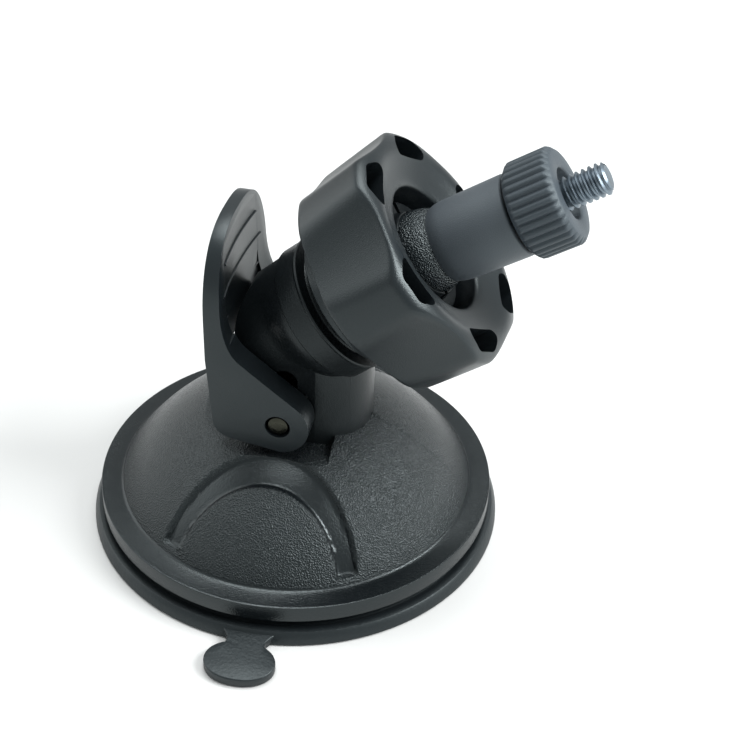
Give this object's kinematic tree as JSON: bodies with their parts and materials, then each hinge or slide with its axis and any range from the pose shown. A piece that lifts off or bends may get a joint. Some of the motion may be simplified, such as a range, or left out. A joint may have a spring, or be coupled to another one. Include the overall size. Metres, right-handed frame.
{
  "type": "suction cup ball mount",
  "caption": "Lever-locked suction cup mount with a domed base, a lobed clamp knob on a ball joint and a camera screw with a lock ring.",
  "frame": {"origin": "centre of the suction pad's flat underside", "axes": "+Z out of the pad's upper side, +X the way the neck leans, the pad's pull tab towards -Y"},
  "size_m": [0.1035, 0.1013, 0.092],
  "materials": {
    "pad": "black soft plastic, satin, faintly greenish, with a rough cut edge",
    "stud": "black moulded plastic, satin",
    "spring": "drawn spring wire",
    "housing": "black moulded plastic with a fine leathery grain",
    "lever": "black moulded plastic, fine satin",
    "pin": "dark olive grey steel, rounded end",
    "knob": "black moulded plastic, fine satin",
    "ball": "black moulded plastic with a coarse sparkling grain",
    "stem": "black moulded plastic, matte",
    "screw": "blackened steel, blue grey",
    "ring": "black moulded plastic, matte, straight knurl"
  },
  "bodies": {
    "base": {"dome_housing": "housing", "suction_pad": "pad", "return_spring": "spring"},
    "stud": {"pad_stud": "stud", "lever_pin": "pin"},
    "lever": {"release_lever": "lever"},
    "knob": {"clamp_knob": "knob"},
    "ball": {"ball": "ball"},
    "stem": {"stem": "stem"},
    "screw": {"camera_screw": "screw"},
    "ring": {"lock_ring": "ring"}
  },
  "joints": [
    {"name": "stud_lift", "type": "slide", "parent": "base", "child": "stud", "axis": [0, 0, 1], "range_m": [0, 0.007], "deforming": ["return_spring"]},
    {"name": "lever_swing", "type": "hinge", "parent": "stud", "child": "lever", "pos_m": [0, 0, 0.0329], "axis": [0, -1, 0], "range_deg": [0, 85]},
    {"name": "knob_turn", "type": "hinge", "parent": "base", "child": "knob", "pos_m": [0.0254, 0, 0.0679], "axis": [0.7604, 0, 0.6494], "range_deg": [0, 270]},
    {"name": "ball_pitch", "type": "hinge", "parent": "base", "child": "ball", "pos_m": [0.0254, 0, 0.0679], "axis": [0, -1, 0], "range_deg": [-7.5, 22.5]},
    {"name": "ball_yaw", "type": "hinge", "parent": "ball", "child": "stem", "pos_m": [0.0254, 0, 0.0679], "axis": [-0.5446, 0, 0.8387], "range_deg": [-15, 15]},
    {"name": "camera_spin", "type": "hinge", "parent": "stem", "child": "screw", "pos_m": [0.0254, 0, 0.0679], "axis": [0.8387, 0, 0.5446], "continuous": true},
    {"name": "ring_turn", "type": "hinge", "parent": "screw", "child": "ring", "pos_m": [0.0254, 0, 0.0679], "axis": [0.8387, 0, 0.5446], "continuous": true}
  ],
  "couplings": [
    {"joint": "stud_lift", "follows": "lever_swing", "m_per_rad": 0.004718}
  ]
}
